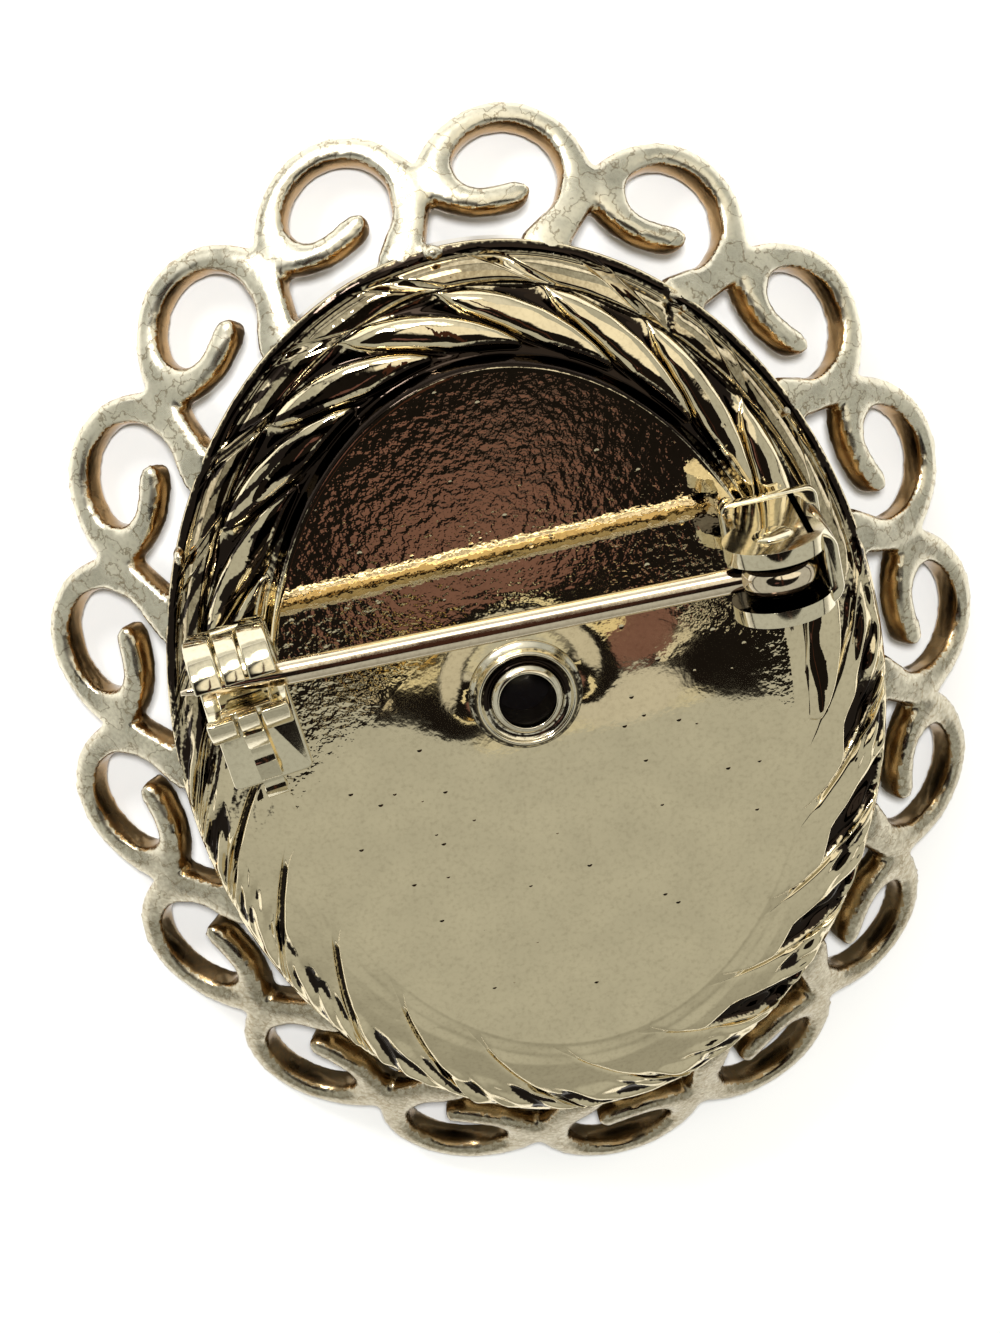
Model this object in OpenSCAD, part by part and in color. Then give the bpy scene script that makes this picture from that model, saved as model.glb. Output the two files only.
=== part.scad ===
// Cameo brooch, lying face down on the edge of its scroll border, as seen from its back.
// +Z is up, the way the back faces. +Y is the brooch's top and +X its right side, seen from the back.
// All sizes are in millimetres.

/* [Stone] */
// Width of the oval stone
stone_w = 30; // [27:0.5:33]
// Length of the oval stone
stone_l = 40; // [37:0.5:43]
// Thickness of the stone at its middle
stone_h = 2.6; // [2.2:0.1:3]
// Gap between the stone's edge and its bezel
stone_gap = 0.1; // [0.05:0.05:0.3]
// Height of the carving above the stone's front
relief_h = 1.3; // [0.8:0.1:1.8]
// Diameter of the carved flower
flower_d = 14; // [10:0.5:18]

/* [Setting] */
// Wall of the bezel round the stone
bezel_wall = 0.75; // [0.65:0.05:1.2]
// Width of the twisted band at the brooch's sides
band_side = 4.4; // [3.8:0.1:5.5]
// Width of the twisted band at the brooch's top and bottom
band_end = 4.9; // [3.8:0.1:5.5]
// Depth from the back plate down to the rim
band_h = 2.6; // [2.2:0.1:3.2]
// Thickness of the back plate
plate_t = 1; // [0.8:0.1:1.4]
// Thickness of the metal between the rim and the stone's seat
seat_t = 0.4; // [0.3:0.1:1]
// Width of the ledge that the stone sits on
ledge_w = 1.4; // [1:0.1:1.8]
// Number of strands in the twisted band
strands = 21; // [15:1:27]
// Height of a strand over the band
strand_h = 0.55; // [0.3:0.05:0.8]

/* [Scroll border] */
// Number of scroll loops
loops = 17; // [13:1:21]
// Reach of the border, measured along its slope
border_slant = 6.55; // [6:0.1:8]
// Slope of the border, down from level
border_angle = 41.5; // [36:0.5:50]
// Width of a scroll strip
scroll_w = 0.95; // [0.8:0.05:1.2]
// Thickness of a scroll strip
scroll_t = 1.3; // [1:0.1:1.8]

/* [Back eyelet] */
// Radius of the eyelet's hole
eyelet_r = 1.25; // [1:0.05:1.5]
// Wall of the eyelet's tube
eyelet_wall = 0.35; // [0.25:0.05:0.5]
// Radius of the eyelet's flange
flange_r = 2.3; // [2:0.1:3]
// Height of the flange over the back plate
flange_h = 0.9; // [0.6:0.1:1.2]
// Distance of the eyelet to the left of the plate's centre
eyelet_left = 0.4; // [0:0.1:1]
// Distance of the eyelet above the plate's centre
eyelet_y = 0.9; // [-1:0.1:1]

/* [Pin] */
// Distance of the pin above the plate's centre
pin_y = 5.95; // [4:0.1:8]
// Radius of the pin wire
pin_r = 0.55; // [0.4:0.05:0.7]
// Length of the pin from its hinge to its tip
pin_len = 26; // [24:0.5:28]
// Length of the tapered tip
taper_len = 4.5; // [2:0.5:6]
// Radius of the point
point_r = 0.1; // [0.05:0.05:0.2]
// Radius of the rolled head
head_r = 1.75; // [1.4:0.05:1.9]
// Width of the rolled head
head_w = 1.7; // [1.2:0.1:2]

/* [Hinge] */
// Distance of the hinge from the plate's centre
hinge_x = 10.95; // [10:0.1:12]
// Height of the hinge's axis over the back plate
hinge_h = 5; // [4:0.1:6]
// Thickness of the bracket's sheet
sheet_t = 0.7; // [0.5:0.05:0.9]
// Radius of the ears
ear_r = 2.2; // [1.9:0.1:2.6]
// Radius of the hinge rivet
rivet_r = 0.6; // [0.4:0.05:0.7]
// Gap between the rivet and the head's hole
rivet_gap = 0.05; // [0.03:0.01:0.1]
// Gap between the head and the bracket
head_gap = 0.15; // [0.1:0.05:0.3]
// Thickness of the bracket's and the catch's foot
foot_t = 0.6; // [0.4:0.1:0.9]

/* [Catch] */
// Distance of the catch from the plate's centre
catch_x = -12.55; // [-13:0.1:-12]
// Height of the catch's axis over the back plate
catch_h = 4; // [3.6:0.1:5]
// Turn of the catch off the pin's line
catch_turn = 6; // [0:1:8]
// Radius of the catch's rings
ring_r = 2.3; // [2:0.1:2.8]
// Wall of the rings
ring_wall = 0.65; // [0.5:0.05:0.8]
// Length of each ring
ring_len = 1.2; // [0.8:0.1:1.6]
// Width of the slot between the rings
slot_w = 1.2; // [1:0.1:1.6]
// Width of the mouth that the pin passes
mouth_w = 1.5; // [1.4:0.1:2]
// Width of the lever
lever_w = 0.9; // [0.7:0.1:1.1]
// Radius of the lever's bore
lever_bore_r = 1.05; // [0.9:0.05:1.15]
// Gap between the lever's collars and the rings
collar_gap = 0.05; // [0.03:0.01:0.1]
// Length of the lever's tongue, from where it leaves the roller
tongue_len = 6.4; // [5:0.1:8]
// Thickness of the tongue
tongue_t = 0.55; // [0.4:0.05:0.7]
// Slope of the tongue at rest, down from level
tongue_angle = 38; // [30:1:40]

/* [Hidden] */
$fn = 64;
eps = 0.01;
gold = "#cbbf9f";
steel = "#b9b2a2";
onyx = "#2b2724";
ivory = "#efe6d2";

// Half axes of the ovals: the rim, the bezel's opening and the back plate
rim = [stone_w / 2 + stone_gap + bezel_wall, stone_l / 2 + stone_gap + bezel_wall];
opening = rim - [bezel_wall, bezel_wall];
plate = rim - [band_side, band_end];

// Shares of the loop, of the border's slant and of the strip's width, from the hook's tip to the strut's root
SCROLL = [
  [0.562, 0.425, 0.45],
  [0.545, 0.395, 0.85],
  [0.505, 0.368, 1.00],
  [0.440, 0.345, 1.00],
  [0.360, 0.330, 1.00],
  [0.275, 0.328, 1.00],
  [0.190, 0.355, 1.10],
  [0.110, 0.415, 1.45],
  [0.060, 0.500, 1.70],
  [0.060, 0.610, 1.55],
  [0.105, 0.715, 1.25],
  [0.165, 0.795, 1.10],
  [0.235, 0.862, 1.00],
  [0.325, 0.920, 1.00],
  [0.430, 0.950, 1.00],
  [0.535, 0.945, 1.00],
  [0.635, 0.905, 1.00],
  [0.720, 0.845, 1.05],
  [0.790, 0.755, 1.15],
  [0.845, 0.650, 1.30],
  [0.882, 0.540, 1.60],
  [0.885, 0.430, 1.70],
  [0.858, 0.320, 1.50],
  [0.815, 0.215, 1.55],
  [0.755, 0.115, 1.90],
  [0.695, 0.040, 2.50],
  [0.655, -0.010, 3.10]];

// Shares of the band's width and depth, and of the strand's height, from the plate's edge to the rim
BAND = [
  [0.00, 0.00, 0.0],
  [0.05, -0.10, 0.0],
  [0.13, -0.26, 0.0],
  [0.25, -0.30, 0.8],
  [0.40, -0.36, 1.0],
  [0.55, -0.47, 1.0],
  [0.69, -0.62, 0.8],
  [0.80, -0.80, 0.4],
  [0.88, -0.90, 0.0],
  [1.00, -1.00, 0.0]];

// Shares of a strand's height across it, from one groove to the next
STRAND = [0, 0.85, 1, 0.8, 0.45];

// Shares of the stone's thickness, and the inset in shares of it, from the seat to the front
DOME = [[0.00, 0.00], [0.42, 0.00], [0.56, 0.16], [0.75, 0.55], [0.90, 1.10], [1.00, 2.00]];

// Arc length round the middle of the border, clockwise from the top, against the oval's angle
arc_steps = 180;
border_mid = 0.62 * border_slant * cos(border_angle);
function oval(half, t) = [half.x * cos(t), half.y * sin(t)];
function outward(t) = let (n = [rim.y * cos(t), rim.x * sin(t)]) n / norm(n);
function step_angle(i) = 90 - i * 360 / arc_steps;
function mid_point(t) = oval(rim, t) + outward(t) * border_mid;
function arc_step(i) = norm(mid_point(step_angle(i + 1)) - mid_point(step_angle(i)));
arc_table = [for (i = 0, s = 0; i <= arc_steps; s = s + arc_step(i), i = i + 1) [s, step_angle(i)]];
border_len = arc_table[arc_steps][0];
function rim_angle(share) =
  let (turn = floor(share)) lookup((share - turn) * border_len, arc_table) - 360 * turn;

// A point on the border's cone and the cone's normal there, with the rim at height 0
function cone_point(share, s) =
  let (t = rim_angle(share), p = oval(rim, t) + outward(t) * s * cos(border_angle))
  [p.x, p.y, -s * sin(border_angle)];
function cone_normal(share) =
  let (n = outward(rim_angle(share)) * sin(border_angle)) [n.x, n.y, cos(border_angle)];

// Four corners of a loop's strip at each row of the table
function strip_corners(k) =
  let (c = [for (row = SCROLL) cone_point((k + row[0]) / loops, row[1] * border_slant)],
       last = len(c) - 1)
  [for (i = [0:last])
    let (n = cone_normal((k + SCROLL[i][0]) / loops),
         along = c[min(i + 1, last)] - c[max(i - 1, 0)],
         across = cross(n, along) / norm(cross(n, along)) * scroll_w * SCROLL[i][2] / 2)
    each [c[i] + across, c[i] - across, c[i] - across - n * scroll_t, c[i] + across - n * scroll_t]];

// Heights, worked up from the border's lowest edge, which rests at height 0
rim_z = -min([for (p = strip_corners(0)) p.z]);
plate_z = rim_z + band_h;
seat_z = rim_z - seat_t;
front_z = seat_z - stone_h;
hinge_z = plate_z + hinge_h;
catch_z = plate_z + catch_h;

// A closed solid through rings of points that run clockwise, seen along the way from the first to the last
module loft(rings) {
  n = len(rings[0]);
  last = len(rings) - 1;
  points = [for (r = rings) each r];
  walls = [for (j = [0:last - 1], i = [0:n - 1])
    let (a = j * n + i, b = j * n + (i + 1) % n)
    each [[a, b + n, b], [a, a + n, b + n]]];
  caps = [[for (i = [0:n - 1]) i], [for (i = [n - 1:-1:0]) last * n + i]];
  polyhedron(points, concat(walls, caps), convexity = 10);
}

module scroll_strip(k) {
  c = strip_corners(k);
  loft([for (i = [0:len(SCROLL) - 1]) [for (j = [0:3]) c[i * 4 + j]]]);
}

// The strands run aslant over the band, flatter at its two edges, and the rings' points follow them
strand_steps = len(STRAND);
ring_n = strands * strand_steps;
band_slope = atan(band_h / band_side);
function strand_shift(f) = let (v = 0.45 - f) 1.3 * v + 2 * v * max(v, 0);
function ring_share(i, f) = (i / strand_steps + strand_shift(f)) / strands;

function band_ring(row) = [for (i = [0:ring_n - 1])
  let (t = rim_angle(ring_share(i, row[0])),
       lift = row[2] * strand_h * STRAND[i % strand_steps],
       p = oval(plate + (rim - plate) * row[0], t) + outward(t) * lift * sin(band_slope))
  [p.x, p.y, plate_z + row[1] * band_h + lift * cos(band_slope)]];
function plain_ring(half, z) = [for (i = [0:ring_n - 1])
  let (p = oval(half, rim_angle(ring_share(i, 1)))) [p.x, p.y, z]];

// The bezel leans in towards its lip, which turns over the stone's domed edge
lean = 0.35;
lip_in = 0.2;
lip_t = 0.25;
lip_z = front_z + stone_h * 0.34;
cup_in = 0.4;
setting_rings = concat(
  [for (row = BAND) band_ring(row)],
  [plain_ring(rim - [lean, lean], lip_z),
   plain_ring(opening - [lip_in, lip_in], lip_z),
   plain_ring(opening - [lip_in, lip_in], lip_z + lip_t),
   plain_ring(opening, lip_z + 2 * lip_t),
   plain_ring(opening, seat_z),
   plain_ring(opening - [ledge_w, ledge_w], seat_z),
   plain_ring(plate - [cup_in, cup_in], plate_z - plate_t)]);

// The back of the hinge's bracket, clear of the pin's head
back_x = head_r + head_gap;

// The feet of the hinge and the catch
foot_side = 1.8;
foot_front = 1.6;
foot_lip = 0.15;
foot_back = back_x + sheet_t + foot_lip;
hinge_foot = [[hinge_x - foot_front, pin_y - foot_side], [hinge_x + foot_back, pin_y + foot_side]];
catch_half = slot_w / 2 + ring_len;
catch_leg_w = 2.4;
foot_reach = 1.2;
catch_foot = [[-catch_half, -tongue_len * cos(tongue_angle) - foot_reach], [catch_half, catch_leg_w / 2]];
pad_margin = 0.15;
pad_h = plate_t + 1;

module foot(area, margin, h) {
  low = area[0] - [margin, margin];
  size = area[1] - area[0] + 2 * [margin, margin];
  translate([low.x, low.y, 0]) cube([size.x, size.y, h]);
}

module at_catch() {
  translate([catch_x, pin_y, 0]) rotate([0, 0, catch_turn]) children();
}

// The loops' strips, cut back inside the bezel's wall so that the struts leave the stone's cup clear
module scroll_border() {
  cut = rim - [bezel_wall, bezel_wall] / 2;
  difference() {
    translate([0, 0, rim_z]) for (k = [0:loops - 1]) scroll_strip(k);
    scale([cut.x, cut.y, 1]) cylinder(r = 1, h = seat_z + seat_t / 2);
  }
}

module setting_frame() {
  eyelet_hole_r = eyelet_r + eyelet_wall + stone_gap / 2;
  color(gold) difference() {
    union() {
      loft(setting_rings);
      scroll_border();
      translate([0, 0, plate_z - pad_h]) {
        foot(hinge_foot, pad_margin, pad_h);
        at_catch() foot(catch_foot, pad_margin, pad_h);
      }
    }
    translate([-eyelet_left, eyelet_y, plate_z - 2 * plate_t]) cylinder(r = eyelet_hole_r, h = 4 * plate_t);
  }
}

module back_eyelet() {
  tube_r = eyelet_r + eyelet_wall;
  rim_h = flange_h * 0.2;
  clinch_t = 0.35;
  clinch_r = (tube_r + flange_r) / 2;
  section = [
    [eyelet_r, -plate_t - clinch_t],
    [clinch_r, -plate_t - clinch_t],
    [clinch_r, -plate_t],
    [tube_r, -plate_t],
    [tube_r, 0],
    [flange_r, 0],
    [flange_r, flange_h - rim_h],
    [flange_r - rim_h, flange_h],
    [flange_r - 2 * rim_h, flange_h - rim_h / 2],
    [tube_r + rim_h / 2, flange_h - 1.5 * rim_h],
    [tube_r, flange_h],
    [eyelet_r, flange_h]];
  color(gold) translate([-eyelet_left, eyelet_y, plate_z]) rotate_extrude() polygon(section);
}

// Turns an outline drawn in X and Z into a slab across Y
module across_y(w) {
  translate([0, w / 2, 0]) rotate([90, 0, 0]) linear_extrude(w) children();
}

bracket_in = head_w / 2 + head_gap;
bracket_out = bracket_in + sheet_t;

module bracket_plan() {
  corner = 0.9;
  difference() {
    union() {
      translate([-ear_r, -bracket_out]) square([ear_r + back_x + sheet_t - corner, 2 * bracket_out]);
      translate([0, corner - bracket_out])
        square([back_x + sheet_t, 2 * (bracket_out - corner)]);
      for (side = [-1, 1]) translate([back_x + sheet_t - corner, side * (bracket_out - corner)])
        circle(r = corner);
    }
    translate([-2 * ear_r, -bracket_in]) square([2 * ear_r + back_x, 2 * bracket_in]);
  }
}

module hinge_bracket() {
  leg_x = -1.3;
  back_h = 0.9;
  color(gold) difference() {
    union() {
      translate([hinge_x, pin_y, hinge_z]) intersection() {
        translate([0, 0, -hinge_h + foot_t / 2]) linear_extrude(hinge_h + ear_r) bracket_plan();
        across_y(3 * bracket_out) {
          circle(r = ear_r);
          translate([leg_x, -hinge_h]) square([back_x + sheet_t - leg_x, hinge_h]);
          translate([back_x - eps, -hinge_h]) square([sheet_t + eps, hinge_h + back_h]);
        }
      }
      translate([0, 0, plate_z]) foot(hinge_foot, 0, foot_t);
    }
    translate([hinge_x, pin_y, hinge_z]) rotate([90, 0, 0])
      cylinder(r = rivet_r, h = 3 * bracket_out, center = true);
  }
}

module hinge_rivet() {
  cap_r = rivet_r + 0.3;
  cap_t = 0.15;
  color(steel) translate([hinge_x, pin_y, hinge_z]) rotate([90, 0, 0]) {
    cylinder(r = rivet_r, h = 2 * bracket_out, center = true);
    for (side = [0, 1]) mirror([0, 0, side]) translate([0, 0, bracket_out]) cylinder(r = cap_r, h = cap_t);
  }
}

// The pin drops a little from the hinge to the catch
pin_drop = asin((hinge_h - catch_h) / (hinge_x - catch_x));
wire_start = (head_r + rivet_r) / 2;

module pin_stem() {
  color(steel) translate([hinge_x, pin_y, hinge_z]) difference() {
    union() {
      rotate([90, 0, 0]) cylinder(r = head_r, h = head_w, center = true);
      rotate([0, -90 - pin_drop, 0]) {
        translate([0, 0, wire_start]) cylinder(r = pin_r, h = pin_len - taper_len - wire_start);
        translate([0, 0, pin_len - taper_len]) cylinder(r1 = pin_r, r2 = point_r, h = taper_len);
      }
    }
    rotate([90, 0, 0]) cylinder(r = rivet_r + rivet_gap, h = 2 * head_w, center = true);
  }
}

// Turns an outline drawn in Y and Z into a slab along X
module along_x(w) {
  translate([-w / 2, 0, 0]) rotate([90, 0, 90]) linear_extrude(w) children();
}

module c_ring(outer_r, inner_r) {
  difference() {
    circle(r = outer_r);
    circle(r = inner_r);
    translate([-mouth_w / 2, 0]) square([mouth_w, 2 * outer_r]);
  }
}

ring_in_r = ring_r - ring_wall;

module catch_housing() {
  leg_top = ring_wall / 2 - ring_r;
  color(gold) at_catch() {
    for (side = [-1, 1])
      translate([side * (slot_w + ring_len) / 2, 0, catch_z]) along_x(ring_len) {
        c_ring(ring_r, ring_in_r);
        translate([-catch_leg_w / 2, -catch_h + foot_t / 2])
          square([catch_leg_w, leg_top + catch_h - foot_t / 2]);
      }
    translate([0, 0, plate_z]) foot(catch_foot, 0, foot_t);
  }
}

roller_r = ring_r - 0.1;
collar_r = ring_in_r - collar_gap;
collar_len = 0.5;

module catch_lever() {
  tip_r = lever_w * 0.65;
  color(steel) at_catch() translate([0, 0, catch_z]) {
    along_x(slot_w + 2 * collar_len) c_ring(collar_r, lever_bore_r);
    along_x(lever_w) c_ring(roller_r, lever_bore_r);
    rotate([tongue_angle, 0, 0]) translate([0, 0, roller_r - tongue_t]) {
      translate([-lever_w / 2, -tongue_len, 0]) cube([lever_w, tongue_len - mouth_w / 2, tongue_t]);
      translate([0, -tongue_len, 0]) cylinder(r = tip_r, h = tongue_t);
    }
  }
}

// The stone is a flat-backed oval with a low domed front
stone_steps = 72;
function stone_ring(row) =
  let (inset = row[1] * stone_h, half = [stone_w / 2 - inset, stone_l / 2 - inset])
  [for (i = [0:stone_steps - 1])
    let (p = oval(half, -i * 360 / stone_steps)) [p.x, p.y, seat_z - row[0] * stone_h]];

module cameo_stone() {
  color(onyx) loft([for (row = DOME) stone_ring(row)]);
}

// A carved rose: the height over the stone at a distance and an angle from its middle
petals = 5;
relief_rings = 9;
relief_steps = 60;
function petal_edge(t) = 1 + 0.09 * cos(petals * t);
function petal_lift(f, t) =
  let (layer = floor(f * 3), part = f * 3 - layer, turn = petals * t + layer * 180)
  (1 - 0.28 * layer) * (0.72 + 0.28 * cos(turn)) * (0.75 + 0.25 * sin(180 * part));
function relief_ring(j) = [for (i = [0:relief_steps - 1])
  let (t = -i * 360 / relief_steps, f = j / relief_rings, r = f * petal_edge(t) * flower_d / 2,
       lift = j == relief_rings ? 0 : relief_h * petal_lift(f, t))
  [r * cos(t), r * sin(t), -lift]];
leaf_l = 8.5;
leaf_w = 3.6;
leaf_h = 0.5;
leaf_spread = 25;

module leaf() {
  bow_r = (leaf_l * leaf_l / 4 + leaf_w * leaf_w / 4) / leaf_w;
  intersection() {
    translate([leaf_l / 2, bow_r - leaf_w / 2, 0]) cylinder(r = bow_r, h = leaf_h);
    translate([leaf_l / 2, leaf_w / 2 - bow_r, 0]) cylinder(r = bow_r, h = leaf_h);
  }
}

module cameo_relief() {
  color(ivory) translate([0, 0, front_z]) {
    loft([for (j = [relief_rings:-1:1]) relief_ring(j)]);
    for (end = [90, 270], side = [-1, 1])
      rotate([0, 0, end + side * leaf_spread]) translate([flower_d * 0.4, 0, -leaf_h]) leaf();
  }
}

setting_frame();
back_eyelet();
hinge_bracket();
hinge_rivet();
pin_stem();
catch_housing();
catch_lever();
cameo_stone();
cameo_relief();
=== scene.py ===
"""Looks for a cameo brooch lying face down: a gold-tone casting, its pin, hinge and catch, and the cameo."""
import math

import bmesh
import bpy
import numpy as np
from mathutils import Matrix, Vector, noise


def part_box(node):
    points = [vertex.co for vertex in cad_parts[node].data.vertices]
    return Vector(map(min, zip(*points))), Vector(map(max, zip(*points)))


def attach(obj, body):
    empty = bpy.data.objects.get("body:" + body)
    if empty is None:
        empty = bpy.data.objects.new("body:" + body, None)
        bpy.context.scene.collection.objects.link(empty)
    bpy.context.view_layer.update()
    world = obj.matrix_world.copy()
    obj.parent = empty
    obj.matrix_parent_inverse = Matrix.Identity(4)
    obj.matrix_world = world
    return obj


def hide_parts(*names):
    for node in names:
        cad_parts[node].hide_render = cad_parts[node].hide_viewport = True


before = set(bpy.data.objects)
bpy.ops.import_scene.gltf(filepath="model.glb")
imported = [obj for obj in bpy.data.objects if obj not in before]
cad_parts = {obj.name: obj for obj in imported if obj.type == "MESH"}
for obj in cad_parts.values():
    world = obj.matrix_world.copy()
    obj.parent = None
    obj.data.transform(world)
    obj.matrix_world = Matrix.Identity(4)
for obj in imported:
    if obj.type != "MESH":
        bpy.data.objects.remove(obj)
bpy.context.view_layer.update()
MM = 0.001
MICRON = 0.000001

# Sizes in millimetres, as in the CAD frame: half axes of the rim, the back plate and the opening behind
RIM = np.array([15.85, 20.85])
PLATE = np.array([11.45, 15.95])
OPENING = RIM - 0.75
PLATE_T = 1.0
# The band falls away from the plate to the rim, and the border slants on from there
BAND_W = 4.4
BAND_H = 2.6
STRANDS = 21
SLANT = 6.55
CONE = math.radians(41.5)
LOOPS = 17
STRIP_W = 0.95
STRIP_T = 1.3
# A strip widens to no more than this times its width
WIDEST = 1.75
# What the border's smoothing takes off each face
SMOOTHED = 0.07
STONE = np.array([15.0, 20.0])
STONE_H = 2.6
# Heights of the back plate, the rim, the stone's seat and front, and the bezel's lip
PLATE_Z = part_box("setting_frame")[1].z / MM
RIM_Z = PLATE_Z - BAND_H
SEAT_Z = RIM_Z - 0.4
FRONT_Z = SEAT_Z - STONE_H
LIP_Z = FRONT_Z + STONE_H * 0.34

# Path of a scroll strip: share of a loop, share of the border's slant, share of the strip's width
SCROLL = np.array([
    [0.562, 0.425, 0.45], [0.545, 0.395, 0.85], [0.505, 0.368, 1.00], [0.440, 0.345, 1.00],
    [0.360, 0.330, 1.00], [0.275, 0.328, 1.00], [0.190, 0.355, 1.10], [0.110, 0.415, 1.45],
    [0.060, 0.500, 1.70], [0.060, 0.610, 1.55], [0.105, 0.715, 1.25], [0.165, 0.795, 1.10],
    [0.235, 0.862, 1.00], [0.325, 0.920, 1.00], [0.430, 0.950, 1.00], [0.535, 0.945, 1.00],
    [0.635, 0.905, 1.00], [0.720, 0.845, 1.05], [0.790, 0.755, 1.15], [0.845, 0.650, 1.30],
    [0.882, 0.540, 1.60], [0.885, 0.430, 1.70], [0.858, 0.320, 1.50], [0.815, 0.215, 1.55],
    [0.755, 0.115, 1.90], [0.695, 0.040, 2.50], [0.655, -0.010, 3.10]])
# The band's profile from the plate's edge to the rim, in shares of its width and depth: at the brooch's top
# a steep cove, the strands' bed, a groove, a broad moulding and a second groove; at its bottom a plain dome
COVED = np.array([
    [0.00, 0.00], [0.02, -0.02], [0.05, -0.12], [0.09, -0.25], [0.13, -0.29], [0.17, -0.31], [0.30, -0.40],
    [0.45, -0.51], [0.58, -0.63], [0.63, -0.72], [0.66, -0.75], [0.685, -0.69], [0.72, -0.685],
    [0.78, -0.735], [0.83, -0.82], [0.86, -0.92], [0.885, -0.965], [0.91, -0.935], [0.96, -0.94],
    [1.00, -1.00]])
DOMED = np.array([
    [0.00, 0.00], [0.08, -0.02], [0.20, -0.11], [0.35, -0.26], [0.50, -0.41], [0.65, -0.56], [0.80, -0.71],
    [0.92, -0.84], [0.97, -0.91], [1.00, -1.00]])
# A strand along the band's width: its place, its half width in shares of the pitch and its height in
# millimetres; pointed leaves in the brooch's upper half, flat strands in its lower half
LEAF = np.array([
    [0.12, 0.22, 0.00], [0.15, 0.34, 0.36], [0.19, 0.43, 0.50], [0.26, 0.468, 0.56], [0.35, 0.465, 0.54],
    [0.45, 0.415, 0.48], [0.54, 0.31, 0.38], [0.62, 0.17, 0.20], [0.66, 0.12, 0.00]])
FLAT = np.array([
    [0.12, 0.40, 0.00], [0.24, 0.46, 0.10], [0.32, 0.455, 0.26], [0.50, 0.45, 0.32], [0.70, 0.45, 0.30],
    [0.80, 0.46, 0.26], [0.93, 0.465, 0.14], [1.00, 0.47, 0.00]])


def ramp(value, lo, hi):
    """A smooth step from 0 at lo to 1 at hi."""
    f = np.clip((value - lo) / (hi - lo), 0, 1)
    return f * f * (3 - 2 * f)


def window(value, lo, lo_full, hi_full, hi):
    """1 from lo_full to hi_full, with smooth steps down to 0 at lo and at hi."""
    return ramp(value, lo, lo_full) * (1 - ramp(value, hi_full, hi))


def outward(t):
    """The direction square to the rim, in the plane of the plate."""
    n = np.stack([RIM[1] * np.cos(t), RIM[0] * np.sin(t)], -1)
    return n / np.linalg.norm(n, axis=-1, keepdims=True)


def oval(half, t):
    return np.stack([half[0] * np.cos(t), half[1] * np.sin(t)], -1)


# The loops are spaced evenly along a line at this share of the border's slant; shares of the turn start at
# the top and run clockwise
SPACED_AT = 0.62
ARC_T = math.pi / 2 - np.linspace(0, 2 * math.pi, 3601)
ARC_LINE = oval(RIM, ARC_T) + outward(ARC_T) * SPACED_AT * SLANT * math.cos(CONE)
ARC_L = np.concatenate([[0], np.cumsum(np.hypot(*np.diff(ARC_LINE, axis=0).T))])


def rim_angle(share):
    turns = np.floor(share)
    return np.interp((share - turns) * ARC_L[-1], ARC_L, ARC_T) - 2 * math.pi * turns


def cone_point(share, s):
    """A point of the border, s millimetres down its slant from the rim."""
    t = rim_angle(share)
    p = oval(RIM, t) + outward(t) * (s * math.cos(CONE))[..., None]
    return np.concatenate([p, (RIM_Z - s * math.sin(CONE))[..., None]], -1)


def cone_normal(share):
    n = outward(rim_angle(share)) * math.sin(CONE)
    return np.concatenate([n, np.full(n.shape[:-1] + (1,), math.cos(CONE))], -1)


def spline(rows, steps):
    """A smooth curve through the rows."""
    last = len(rows) - 1
    out = []
    for i in range(last):
        a, b, c, d = rows[max(i - 1, 0)], rows[i], rows[i + 1], rows[min(i + 2, last)]
        for f in np.arange(steps) / steps:
            out.append(0.5 * (2 * b + (c - a) * f + (2 * a - 5 * b + 4 * c - d) * f ** 2
                              + (3 * b - a - 3 * c + d) * f ** 3))
    out.append(rows[last])
    return np.array(out)


def linked(name, mesh):
    """A smooth-shaded object of the scene from a mesh."""
    mesh.polygons.foreach_set("use_smooth", [True] * len(mesh.polygons))
    ob = bpy.data.objects.new(name, mesh)
    bpy.context.scene.collection.objects.link(ob)
    return ob


def mesh_object(name, verts, faces):
    """A mesh object from points in millimetres."""
    mesh = bpy.data.meshes.new(name)
    mesh.from_pydata((np.asarray(verts, float) * MM).tolist(), [], [list(map(int, f)) for f in faces])
    mesh.validate()
    mesh.update()
    return linked(name, mesh)


def tube_faces(rings, n, offset=0, closed=False):
    """Quads between rings of n points each; an open tube gets end caps."""
    faces = []
    for j in range(rings if closed else rings - 1):
        a, b = offset + j * n, offset + ((j + 1) % rings) * n
        faces += [(a + i, a + (i + 1) % n, b + (i + 1) % n, b + i) for i in range(n)]
    if not closed:
        faces.append(tuple(offset + i for i in reversed(range(n))))
        faces.append(tuple(offset + (rings - 1) * n + i for i in range(n)))
    return faces


def recalc(ob):
    """Turns a solid's faces outward."""
    bm = bmesh.new()
    bm.from_mesh(ob.data)
    bmesh.ops.recalc_face_normals(bm, faces=bm.faces)
    bm.to_mesh(ob.data)
    bm.free()


def apply_modifiers(ob):
    bpy.context.view_layer.update()
    graph = bpy.context.evaluated_depsgraph_get()
    mesh = bpy.data.meshes.new_from_object(ob.evaluated_get(graph))
    old = ob.data
    ob.modifiers.clear()
    ob.data = mesh
    mesh.name = ob.name
    bpy.data.meshes.remove(old)


def bevel(ob, width, segments, angle=35):
    """Rounds the edges that are sharper than an angle in degrees."""
    m = ob.modifiers.new("bevel", "BEVEL")
    m.width = width * MM
    m.segments = segments
    m.limit_method = "ANGLE"
    m.angle_limit = math.radians(angle)
    m.harden_normals = False
    apply_modifiers(ob)
    ob.data.polygons.foreach_set("use_smooth", [True] * len(ob.data.polygons))


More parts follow.
